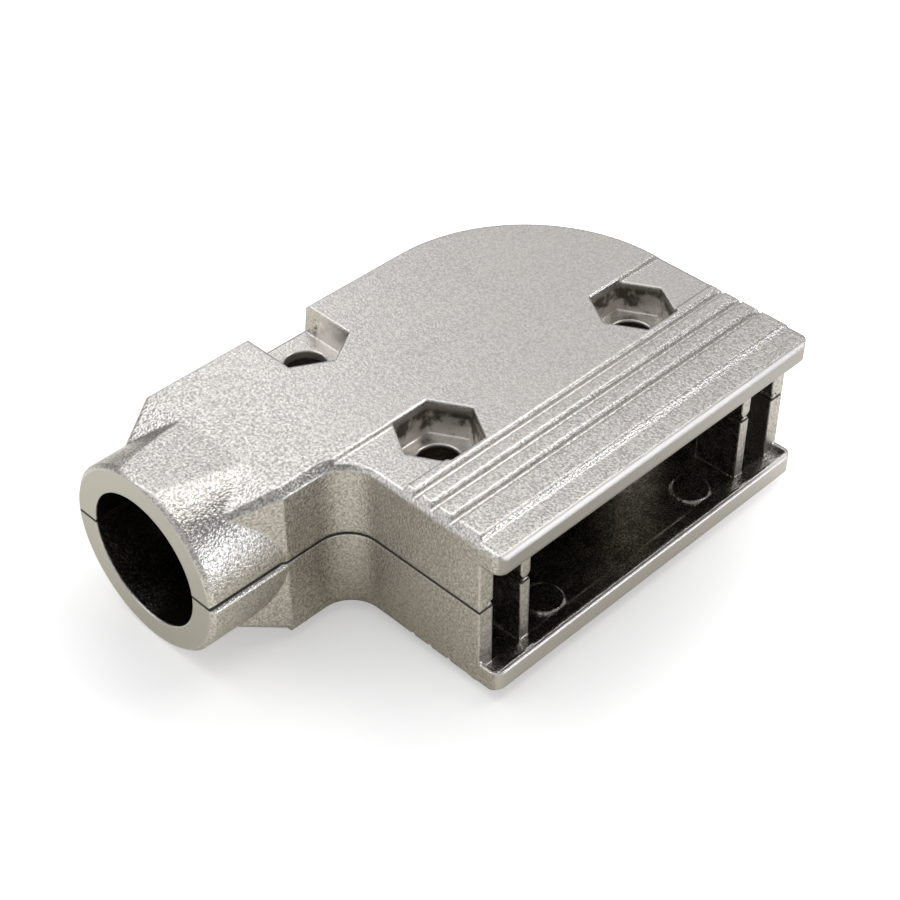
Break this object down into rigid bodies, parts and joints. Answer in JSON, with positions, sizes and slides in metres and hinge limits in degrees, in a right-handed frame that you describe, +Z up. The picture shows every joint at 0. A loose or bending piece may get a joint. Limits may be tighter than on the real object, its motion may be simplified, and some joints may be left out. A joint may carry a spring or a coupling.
{
  "type": "connector hood",
  "caption": "Two-piece die-cast metal hood for a D-shaped connector, with a round cable exit square to the mouth.",
  "frame": {"origin": "middle of the mouth, on the plane of the lips' front edges and on the middle plane of the hood", "axes": "-Y out of the mouth, -X along the cable tube and out of it, +Z up through the half with the nut pockets"},
  "size_m": [0.0553, 0.0356, 0.0177],
  "materials": {
    "nickel_plate": "nickel-plated zinc casting, finely grained on the outside and brighter along the edges"
  },
  "bodies": {
    "root": {"upper_shell": "nickel_plate", "lower_shell": "nickel_plate"}
  },
  "joints": []
}
